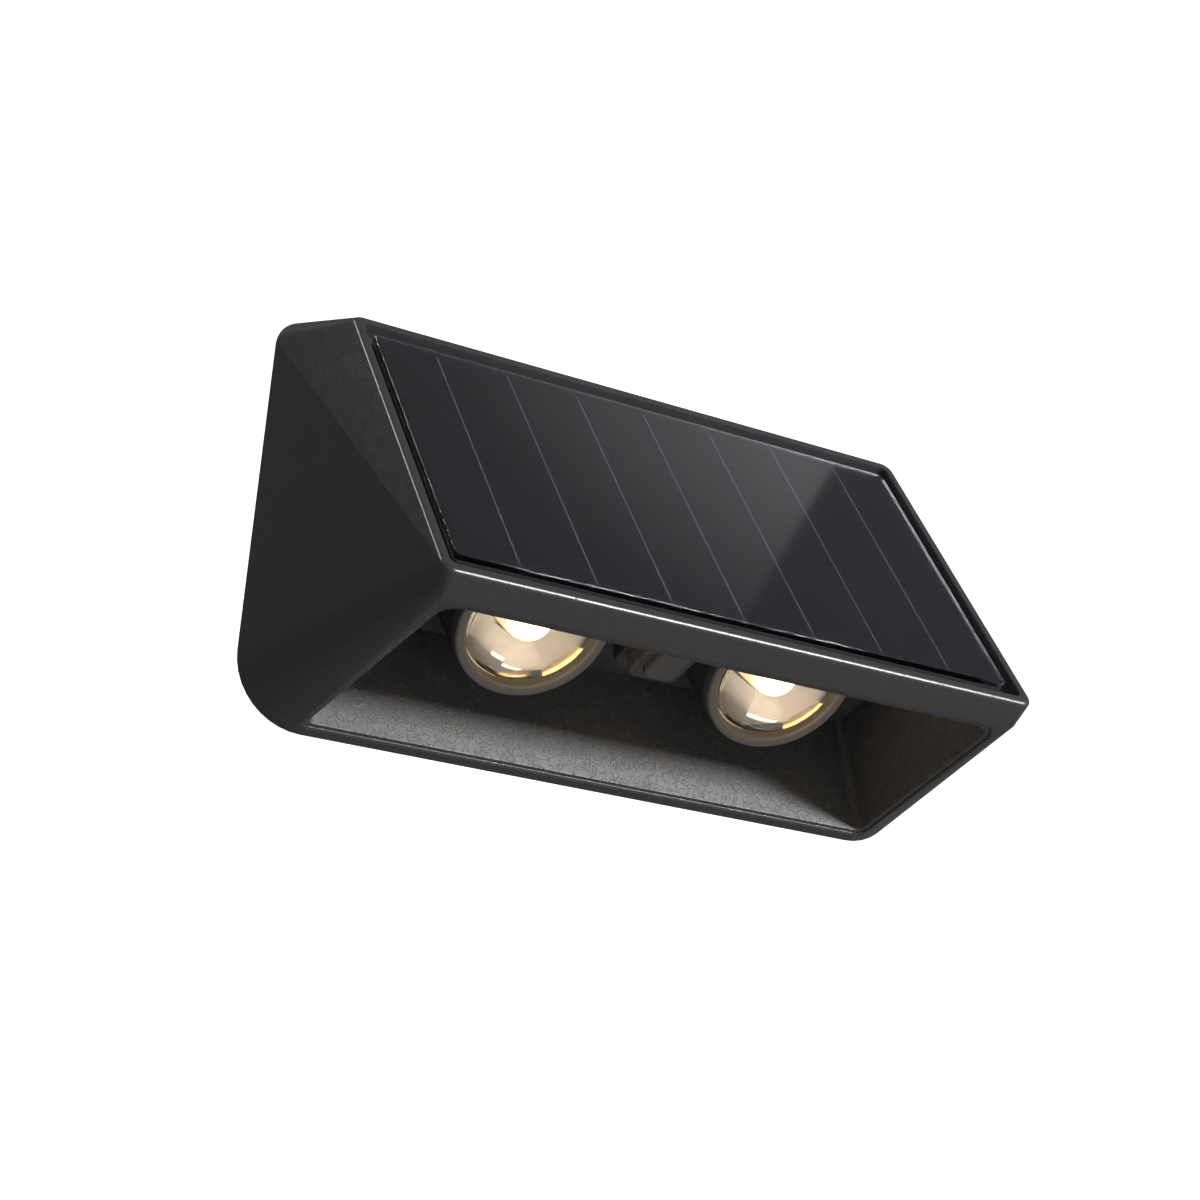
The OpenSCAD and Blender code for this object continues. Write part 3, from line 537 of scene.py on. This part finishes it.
def lamp_barrel(side):
    """A lamp's skirt, cut off inside the chamber's walls, and the cup behind its ring."""
    skirt = cylinder("skirt", ON_LAMP[side], BEZEL_R, BEZEL_H - SKIRT_LEAD, 2 * CHAMBER_H)
    grow = CHAMBER_WALL - SKIRT_SINK
    keep = chamber_solid("keep", [(RIM_T, grow), (CHAMBER_TOP - SKIRT_SINK, grow)])
    combine(skirt, [keep], "INTERSECT")
    cup = cylinder("cup", ON_LAMP[side], BEZEL_R - CUP_SINK, BEZEL_H - CUP_LEAD, BARREL_END)
    return [skirt, cup]


def button_block(name, width, length, low, sink):
    """A block round the button's axis, cut off between the foot and the chamber's top."""
    block = rounded_block(name, ON_BUTTON, width, length, BOSS_R, low, CHAMBER_H, BOSS_EDGE)
    outline = rounded_rect(SLAB_W, SLAB_L, SLAB_R)
    slab = loft("slab", [points_at(ON_FLOOR, outline, SLAB_LOW),
                         points_at(ON_FLOOR, outline, CHAMBER_TOP - sink)])
    return combine(block, [slab], "INTERSECT")


def lamp_chamber():
    """The liner of the opening, with two lamp barrels and the button's boss in one piece."""
    chamber = chamber_shell()
    adds = []
    for side in SIDES:
        adds += lamp_barrel(side)
    adds.append(button_block("boss", BUTTON_W + 2 * BOSS_SIDE, BUTTON_L + 2 * BOSS_SIDE,
                             BUTTON_RISE, BOSS_SINK))
    adds.append(button_block("switch housing", SWITCH_BLOCK_W, SWITCH_BLOCK_L, SWITCH_TOP,
                             SWITCH_BLOCK_SINK))
    combine(chamber, adds, "UNION")
    bores = [lamp_bore(side) for side in SIDES]
    bores.append(rounded_block("button hole", ON_BUTTON, BUTTON_W + 2 * BUTTON_GAP,
                               BUTTON_L + 2 * BUTTON_GAP, BUTTON_R + BUTTON_GAP,
                               BUTTON_HOLE_LOW, SWITCH_TOP, LEAST_R))
    bores.append(cylinder("plunger hole", ON_BUTTON, PLUNGER_R + PLUNGER_GAP, PLUNGER_HOLE_LOW,
                          2 * CHAMBER_H))
    combine(chamber, bores, "DIFFERENCE")
    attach(smooth(chamber), "fixture")
    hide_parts("lamp_chamber")
    chamber.data.materials.append(moulded_plastic("chamber plastic", "chamber_plastic",
                                                  CHAMBER_GRAIN, CHAMBER_ROUGHNESS))


# ---- Lamps ----
def bezel(side):
    """The ring round a lens, rounded at the front, outside and inside."""
    inner = DOME_R + BEZEL_GAP
    profile = [(inner, BEZEL_H), (BEZEL_R, BEZEL_H)]
    profile += [(BEZEL_R - inset, depth) for inset, depth in rounding(BEZEL_EDGE)]
    profile += [(inner + inset, depth) for inset, depth in reversed(rounding(BEZEL_EDGE))]
    ring = revolve(f"bezel_{side}_ring", ON_LAMP[side], profile)
    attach(smooth(ring), "fixture")
    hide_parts(f"bezel_{side}")
    ring.data.materials.append(painted("bezel plastic", "bezel_plastic", BEZEL_ROUGHNESS))


def light_outline(grow):
    """Radius and height of the domed light source, from its board out to its tip."""
    rise = LED_SIDE_TOP - LED_TIP
    outline = []
    for i in range(LED_STEPS):
        turn = math.pi / 2 * i / LED_STEPS
        outline.append(((LED_R + grow) * math.cos(turn),
                        LED_SIDE_TOP - (rise + grow) * math.sin(turn)))
    return outline + [(0, LED_TIP - grow)]


def lens(side):
    """A clear dome with a pocket in its back for the light source."""
    flange_r = BARREL_BORE_R - FLANGE_GAP
    turns = [math.pi / 2 * i / DOME_STEPS for i in range(DOME_STEPS)]
    dome = [(DOME_R * math.cos(t), FLANGE_TOP - DOME_H * math.sin(t)) for t in turns]
    pocket = [point for point in reversed(light_outline(POCKET_GAP)) if point[1] < LENS_BACK]
    profile = pocket + [(pocket[-1][0], LENS_BACK), (flange_r, LENS_BACK), (flange_r, FLANGE_TOP)]
    profile += dome
    profile.append((0, FLANGE_TOP - DOME_H))
    body = revolve(f"lens_{side}_dome", ON_LAMP[side], profile)
    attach(smooth(body, sharp_over=40), "fixture")
    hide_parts(f"lens_{side}")
    body.visible_shadow = False
    body.data.materials.append(clear("lens glass", slot_colour("lens_clear"), index=LENS_IOR,
                                     roughness=0.0))


def reflector(side):
    """A bowl of flat mirror facets between the lens and the light source."""
    outer = [(radius + REFLECTOR_SKIN, min(height + REFLECTOR_SKIN, BARREL_DEPTH))
             for radius, height in reversed(REFLECTOR_ROWS)]
    verts = []
    for radius, height in REFLECTOR_ROWS + outer:
        verts += turned_ring(ON_LAMP[side], radius, height, FACETS, start=0.5)
    faces = band_faces(2 * len(REFLECTOR_ROWS), FACETS, closed=True)
    bowl = mesh_from(f"reflector_{side}_bowl", verts, faces)
    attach(bowl, "fixture")
    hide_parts(f"reflector_{side}")
    bowl.data.materials.append(metal("reflector metal", REFLECTOR_TINT, REFLECTOR_ROUGHNESS))


def light_source(side):
    """The chip of a lamp under its domed phosphor, which glows most near the tip."""
    profile = [(0, LED_BASE), (LED_R, LED_BASE)] + light_outline(0)
    dome = revolve(f"led_{side}_dome", ON_LAMP[side], profile)
    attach(smooth(dome, sharp_over=60), "fixture")
    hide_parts(f"led_chip_{side}")
    core = ON_LAMP[side] @ move(0, 0, LED_TIP + CORE_BEHIND_TIP)
    dome.data.materials.append(glowing(f"led phosphor {side}", core.translation,
                                       LED_R + CORE_FADE, RIM_GLOW, CORE_GLOW))


# ---- Solar panel ----
def panel_glass():
    """The panel's clear cover, its underside just clear of the cells."""
    outline = rounded_rect(PANEL_W, PANEL_LEN, PANEL_CORNER_R, 0)
    rings = [points_at(ON_PANEL, outline, -PANEL_T / 2 + GLASS_LIFT)]
    for inset, depth in rounding(GLASS_EDGE):
        outline = rounded_rect(PANEL_W, PANEL_LEN, PANEL_CORNER_R, inset)
        rings.append(points_at(ON_PANEL, outline, PANEL_T / 2 - depth))
    glass = loft("panel_cover_glass", rings)
    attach(smooth(glass), "fixture")
    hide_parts("panel_glass")
    glass.visible_shadow = False
    glass.data.materials.append(clear("cover glass", PANEL_TINT, GLASS_IOR, GLASS_ROUGHNESS))


# ---- Push button ----
def button():
    """The cap, with its front edge rounded."""
    cap = rounded_block("button_cap_body", ON_BUTTON, BUTTON_W, BUTTON_L, BUTTON_R, 0, BUTTON_END,
                        BUTTON_EDGE)
    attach(smooth(cap), "button")
    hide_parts("button_cap")
    cap.data.materials.append(painted("button plastic", "button_plastic", BUTTON_ROUGHNESS))


# ---- Materials ----
SLOTS = {entry["slot"]: entry for entry in frame["record"]["materials"]}

# Grain is the strength of the moulded pattern, and roughness is near the middle of its range
HOUSING_GRAIN = 0.09
HOUSING_ROUGHNESS = 0.33
CHAMBER_GRAIN = 0.35
CHAMBER_ROUGHNESS = 0.52
BEZEL_ROUGHNESS = 0.32
BUTTON_ROUGHNESS = 0.38
PLAIN_ROUGHNESS = 0.45
PLAIN_METAL_ROUGHNESS = 0.3
REFLECTOR_TINT = (0.42, 0.34, 0.25, 1.0)
REFLECTOR_ROUGHNESS = 0.06
PANEL_TINT = (0.105, 0.112, 0.132, 1.0)
GLASS_ROUGHNESS = 0.06
GLASS_IOR = 1.5
LENS_IOR = 1.49

# Moulded grain: noise per metre, bump depth in metres, and how the gloss varies
GRAIN_NOISE = 520
GRAIN_DISTORTION = 0.8
GRAIN_LINE = 0.035
GRAIN_DEPTH = 0.0003
GRAIN_PALER = 2.2
GRAIN_SPECULAR = 0.45
SPECKLE_NOISE = 260
SPECKLE_SPAN = (0.8, 1.2)
FINE_NOISE = 1500
FINE_BUMP = 0.05
FINE_DEPTH = 0.0001
FINE_SPAN = (-0.04, 0.06)
METAL_NOISE = 700
METAL_SPAN = (0.7, 1.4)

# The lamps' glow: where it is strongest, how far it fades, and its two strengths
CORE_BEHIND_TIP = 1.0
CORE_FADE = 1.6
RIM_GLOW = 0.8
CORE_GLOW = 7.0


def slot_colour(slot):
    """The record's colour for a material slot."""
    red, green, blue = SLOTS[slot]["base_color"][:3]
    return (red, green, blue, 1.0)


def new_material(name):
    """The named material, with its nodes and shader only while it is new."""
    found = bpy.data.materials.get(name)
    if found:
        return found, None, None
    material = bpy.data.materials.new(name)
    material.use_nodes = True
    tree = material.node_tree
    return material, tree, tree.nodes["Principled BSDF"]


def noise(tree, scale, detail, distortion=0.0):
    """Noise on the object's own coordinates."""
    place = tree.nodes.new("ShaderNodeTexCoord")
    texture = tree.nodes.new("ShaderNodeTexNoise")
    texture.inputs["Scale"].default_value = scale
    texture.inputs["Detail"].default_value = detail
    texture.inputs["Distortion"].default_value = distortion
    tree.links.new(place.outputs["Object"], texture.inputs["Vector"])
    return texture


def bump(tree, shader, height, strength, distance):
    """Tilts a shader's normal by a height value."""
    node = tree.nodes.new("ShaderNodeBump")
    node.inputs["Strength"].default_value = strength
    node.inputs["Distance"].default_value = distance
    tree.links.new(height, node.inputs["Height"])
    tree.links.new(node.outputs["Normal"], shader.inputs["Normal"])


def spread(tree, value, low, high, socket):
    """Feeds a 0 to 1 value to a socket as low to high."""
    node = tree.nodes.new("ShaderNodeMapRange")
    node.inputs["To Min"].default_value = low
    node.inputs["To Max"].default_value = high
    tree.links.new(value, node.inputs["Value"])
    tree.links.new(node.outputs["Result"], socket)


def contour_lines(tree, value, width):
    """Thin winding ridges where a noise value passes its middle."""
    centred = tree.nodes.new("ShaderNodeMath")
    centred.operation = "SUBTRACT"
    centred.inputs[1].default_value = 0.5
    tree.links.new(value, centred.inputs[0])
    off = tree.nodes.new("ShaderNodeMath")
    off.operation = "ABSOLUTE"
    tree.links.new(centred.outputs[0], off.inputs[0])
    ridge = tree.nodes.new("ShaderNodeMapRange")
    ridge.inputs["From Max"].default_value = width
    ridge.inputs["To Min"].default_value = 1.0
    ridge.inputs["To Max"].default_value = 0.0
    tree.links.new(off.outputs[0], ridge.inputs["Value"])
    return ridge.outputs["Result"]


def lighten(tree, value, colour, gain, socket):
    """Feeds a colour to a socket, made lighter by the gain where the value is 1."""
    mix = tree.nodes.new("ShaderNodeMix")
    mix.data_type = "RGBA"
    colours = [held for held in mix.inputs if held.type == "RGBA"]
    colours[0].default_value = colour
    colours[1].default_value = [part * gain for part in colour[:3]] + [1.0]
    tree.links.new(value, mix.inputs["Factor"])
    made = [held for held in mix.outputs if held.type == "RGBA"][0]
    tree.links.new(made, socket)


def moulded_plastic(name, slot, grain, roughness):
    """Grained plastic: paler winding ridges over a speckled gloss."""
    material, tree, shader = new_material(name)
    if tree is None:
        return material
    shader.inputs["Base Color"].default_value = slot_colour(slot)
    shader.inputs["Specular IOR Level"].default_value = GRAIN_SPECULAR
    grain_noise = noise(tree, GRAIN_NOISE, detail=1.0, distortion=GRAIN_DISTORTION)
    ridges = contour_lines(tree, grain_noise.outputs["Fac"], GRAIN_LINE)
    speckle = noise(tree, SPECKLE_NOISE, detail=4.0)
    bump(tree, shader, ridges, grain, GRAIN_DEPTH)
    lighten(tree, ridges, slot_colour(slot), 1 + GRAIN_PALER * grain, shader.inputs["Base Color"])
    lowest, highest = SPECKLE_SPAN
    spread(tree, speckle.outputs["Fac"], roughness * lowest, roughness * highest,
           shader.inputs["Roughness"])
    return material


def painted(name, slot, roughness):
    """A smooth moulded or coated surface with a very fine texture."""
    material, tree, shader = new_material(name)
    if tree is None:
        return material
    shader.inputs["Base Color"].default_value = slot_colour(slot)
    fine = noise(tree, FINE_NOISE, detail=2.0)
    bump(tree, shader, fine.outputs["Fac"], FINE_BUMP, FINE_DEPTH)
    lowest, highest = FINE_SPAN
    spread(tree, fine.outputs["Fac"], roughness + lowest, roughness + highest,
           shader.inputs["Roughness"])
    return material


def metal(name, colour, roughness):
    """Bare metal with a patchy gloss."""
    material, tree, shader = new_material(name)
    if tree is None:
        return material
    shader.inputs["Base Color"].default_value = colour
    shader.inputs["Metallic"].default_value = 1.0
    patches = noise(tree, METAL_NOISE, detail=3.0)
    lowest, highest = METAL_SPAN
    spread(tree, patches.outputs["Fac"], roughness * lowest, roughness * highest,
           shader.inputs["Roughness"])
    return material


def clear(name, tint, index, roughness):
    """A clear material that bends light."""
    material, tree, shader = new_material(name)
    if tree is None:
        return material
    shader.inputs["Base Color"].default_value = tint
    shader.inputs["Transmission Weight"].default_value = 1.0
    shader.inputs["Roughness"].default_value = roughness
    shader.inputs["IOR"].default_value = index
    return material


def glowing(name, core, radius, rim_strength, core_strength):
    """A warm light source that is brightest at its core and fades over the radius."""
    material, tree, shader = new_material(name)
    if tree is None:
        return material
    shader.inputs["Base Color"].default_value = slot_colour("led_phosphor")
    shader.inputs["Emission Color"].default_value = slot_colour("led_phosphor")
    where = tree.nodes.new("ShaderNodeTexCoord")
    to_core = tree.nodes.new("ShaderNodeMapping")
    to_core.vector_type = "TEXTURE"
    to_core.inputs["Location"].default_value = core
    to_core.inputs["Scale"].default_value = [radius * MM] * 3
    fade = tree.nodes.new("ShaderNodeTexGradient")
    fade.gradient_type = "SPHERICAL"
    tree.links.new(where.outputs["Object"], to_core.inputs["Vector"])
    tree.links.new(to_core.outputs["Vector"], fade.inputs["Vector"])
    spread(tree, fade.outputs["Fac"], rim_strength, core_strength, shader.inputs["Emission Strength"])
    return material


def finish_for(slot):
    """The finished material of a CAD node that is shown as it is."""
    kind = SLOTS[slot]["class"]
    label = slot.replace("_", " ") + " finish"
    # The ribbons between the cells are dull, so they aren't given bare metal
    if slot != "ribbon_metal" and ("metal" in kind or "steel" in kind):
        return metal(label, slot_colour(slot), PLAIN_METAL_ROUGHNESS)
    return painted(label, slot, PLAIN_ROUGHNESS)


def dress_cad_nodes():
    """Gives each CAD node that still shows a finished material."""
    for part in frame["record"]["subparts"]:
        node = frame["nodes"][part["node"]]
        if node.hide_render:
            continue
        node.data.materials.clear()
        node.data.materials.append(finish_for(part["material_slot"]))


# ---- Studio ----
WHITE = (1.0, 1.0, 1.0, 1.0)
BLACK = (0.0, 0.0, 0.0, 1.0)
WORLD_LIGHT = 0.16

# The camera: degrees, and millimetres from the foot of the housing's back
VIEW_AZIMUTH = -31.1
VIEW_ELEVATION = -22.5
VIEW_ROLL = 0.25
VIEW_DISTANCE = 656.3
VIEW_TARGET = (-13.4, -28.0, 41.2)
LENS_MM = 76.98
SENSOR_MM = 36.0
CLIP_NEAR = 0.01
CLIP_FAR = 50.0

# The soft reflection in the panel: millimetre points on the panel, and how far the card
# lies beyond them, as a share of their distance from the mirrored camera
CARD_OUTLINE = [(-90, 90), (95, 90), (-12, -60), (-90, -60)]
CARD_BRIGHTEST = (50, 40)
CARD_REACH = 110
CARD_LIGHT = 0.62
CARD_AWAY = 2.6

# The lamps' light on the chamber, in watts and millimetres
LAMP_POWER = 0.024
LAMP_COLOUR = (1.0, 0.74, 0.45)
LAMP_SIZE = 6
LAMP_AHEAD = 9

# Floor and backdrop, in metres
FLOOR_HALF = 4
FLOOR_Z = -0.9
FLOOR_GREY = (0.8, 0.8, 0.8, 1.0)
FLOOR_LIGHT = 0.35
BACKDROP_R = 6
BACKDROP_LIGHT = 1.0
STUDIO_ROUGHNESS = 0.9


def add_camera():
    """The camera at the photo's viewing angle and distance."""
    azimuth = math.radians(VIEW_AZIMUTH)
    elevation = math.radians(VIEW_ELEVATION)
    back = Vector((math.sin(azimuth) * math.cos(elevation),
                   -math.cos(azimuth) * math.cos(elevation),
                   math.sin(elevation)))
    data = bpy.data.cameras.new("camera")
    data.lens = LENS_MM
    data.sensor_width = SENSOR_MM
    data.clip_start = CLIP_NEAR
    data.clip_end = CLIP_FAR
    camera = new_object("camera", data)
    target = ON_WALL @ (Vector(VIEW_TARGET) * MM)
    turn = back.to_track_quat("Z", "Y").to_matrix().to_4x4()
    camera.matrix_world = (Matrix.Translation(target + back * VIEW_DISTANCE * MM) @ turn
                           @ Matrix.Rotation(math.radians(VIEW_ROLL), 4, "Z"))
    bpy.context.scene.camera = camera


def softbox(name, direction, distance, width, height, power, glossy=True):
    """A rectangular area light that faces the origin, in metres and watts."""
    data = bpy.data.lights.new(name, "AREA")
    data.shape = "RECTANGLE"
    data.size = width
    data.size_y = height
    data.energy = power
    light = new_object(name, data)
    light.visible_glossy = glossy
    away = Vector(direction).normalized()
    place = away.to_track_quat("Z", "Y").to_matrix().to_4x4()
    light.matrix_world = Matrix.Translation(away * distance) @ place


def panel_card(outline, brightest, reach, strength):
    """A soft card that shows as a reflection in the panel.

    The outline and the brightest place are millimetre points on the panel.
    The card lies on the lines from the camera's mirror image through them.
    """
    to_panel = ON_PANEL.inverted()
    eye = to_panel @ bpy.context.scene.camera.matrix_world.translation
    mirrored = Vector((eye.x, eye.y, -eye.z))

    def beyond(point):
        """The card's point that the mirrored camera sees through a point on the panel."""
        return mirrored + (Vector((point[0], point[1], 0)) * MM - mirrored) * CARD_AWAY

    origin = beyond(brightest)
    card = mesh_from("reflection card", [beyond(point) - origin for point in outline],
                     [list(range(len(outline)))])
    card.matrix_world = ON_PANEL @ Matrix.Translation(origin)
    card.data.materials.append(fading_card("soft card", reach * CARD_AWAY, WORLD_LIGHT, strength))
    card.visible_camera = False
    card.visible_diffuse = False
    card.visible_shadow = False


def fading_card(name, reach, edge_strength, strength):
    """A glow, strongest at the object's origin, that fades over the reach."""
    material = bpy.data.materials.new(name)
    material.use_nodes = True
    tree = material.node_tree
    shader = tree.nodes["Principled BSDF"]
    shader.inputs["Base Color"].default_value = BLACK
    shader.inputs["Emission Color"].default_value = WHITE
    place = tree.nodes.new("ShaderNodeTexCoord")
    scale = tree.nodes.new("ShaderNodeMapping")
    scale.inputs["Scale"].default_value = [1 / (reach * MM)] * 3
    fade = tree.nodes.new("ShaderNodeTexGradient")
    fade.gradient_type = "SPHERICAL"
    tree.links.new(place.outputs["Object"], scale.inputs["Vector"])
    tree.links.new(scale.outputs["Vector"], fade.inputs["Vector"])
    spread(tree, fade.outputs["Fac"], edge_strength, strength, shader.inputs["Emission Strength"])
    return material


def lamp_light(side, power):
    """The lamp's own light on the chamber, from just in front of its lens."""
    data = bpy.data.lights.new(f"lamp light {side}", "POINT")
    data.energy = power
    data.color = LAMP_COLOUR
    data.shadow_soft_size = LAMP_SIZE * MM
    light = new_object(f"lamp light {side}", data)
    light.matrix_world = ON_LAMP[side] @ move(0, 0, -LAMP_AHEAD)
    light.visible_glossy = False
    light.visible_transmission = False


def plain_material(name, colour, strength):
    """A matt studio surface with some light of its own."""
    material = bpy.data.materials.new(name)
    material.use_nodes = True
    shader = material.node_tree.nodes["Principled BSDF"]
    shader.inputs["Base Color"].default_value = colour
    shader.inputs["Roughness"].default_value = STUDIO_ROUGHNESS
    shader.inputs["Emission Color"].default_value = colour
    shader.inputs["Emission Strength"].default_value = strength
    return material


def add_stage():
    """The pale floor, well below the object, and the backdrop round everything."""
    corners = [(-1, -1), (1, -1), (1, 1), (-1, 1)]
    floor = mesh_from("floor", [(x * FLOOR_HALF, y * FLOOR_HALF, FLOOR_Z) for x, y in corners],
                      [[0, 1, 2, 3]])
    floor.data.materials.append(plain_material("pale floor", FLOOR_GREY, FLOOR_LIGHT))
    dome = bmesh.new()
    bmesh.ops.create_uvsphere(dome, u_segments=64, v_segments=32, radius=BACKDROP_R)
    mesh = bpy.data.meshes.new("backdrop")
    dome.to_mesh(mesh)
    dome.free()
    backdrop = new_object("backdrop", mesh)
    backdrop.data.materials.append(plain_material("white backdrop", WHITE, BACKDROP_LIGHT))
    floor.visible_glossy = False
    backdrop.visible_diffuse = False
    backdrop.visible_glossy = False
    backdrop.visible_transmission = False
    backdrop.visible_shadow = False


def add_world(strength):
    """An even white light from all round."""
    world = bpy.data.worlds.new("studio")
    bpy.context.scene.world = world
    world.use_nodes = True
    background = world.node_tree.nodes["Background"]
    background.inputs["Color"].default_value = WHITE
    background.inputs["Strength"].default_value = strength


# ---- Everything is made here ----
housing()
lamp_chamber()
for side_name in SIDES:
    bezel(side_name)
    lens(side_name)
    reflector(side_name)
    light_source(side_name)
panel_glass()
button()
dress_cad_nodes()

add_camera()
add_world(WORLD_LIGHT)
add_stage()
softbox("front softbox", direction=(0.477, -0.868, -0.02), distance=1.6, width=0.30, height=0.18,
        power=60)
softbox("low softbox", direction=(0.35, -0.66, -0.72), distance=1.6, width=0.85, height=0.75,
        power=9, glossy=False)
softbox("top left softbox", direction=(-0.50, 0.05, 0.87), distance=1.8, width=0.40, height=0.40,
        power=12)
panel_card(CARD_OUTLINE, CARD_BRIGHTEST, CARD_REACH, CARD_LIGHT)
for side_name in SIDES:
    lamp_light(side_name, LAMP_POWER)
bpy.context.scene.view_settings.view_transform = "Standard"
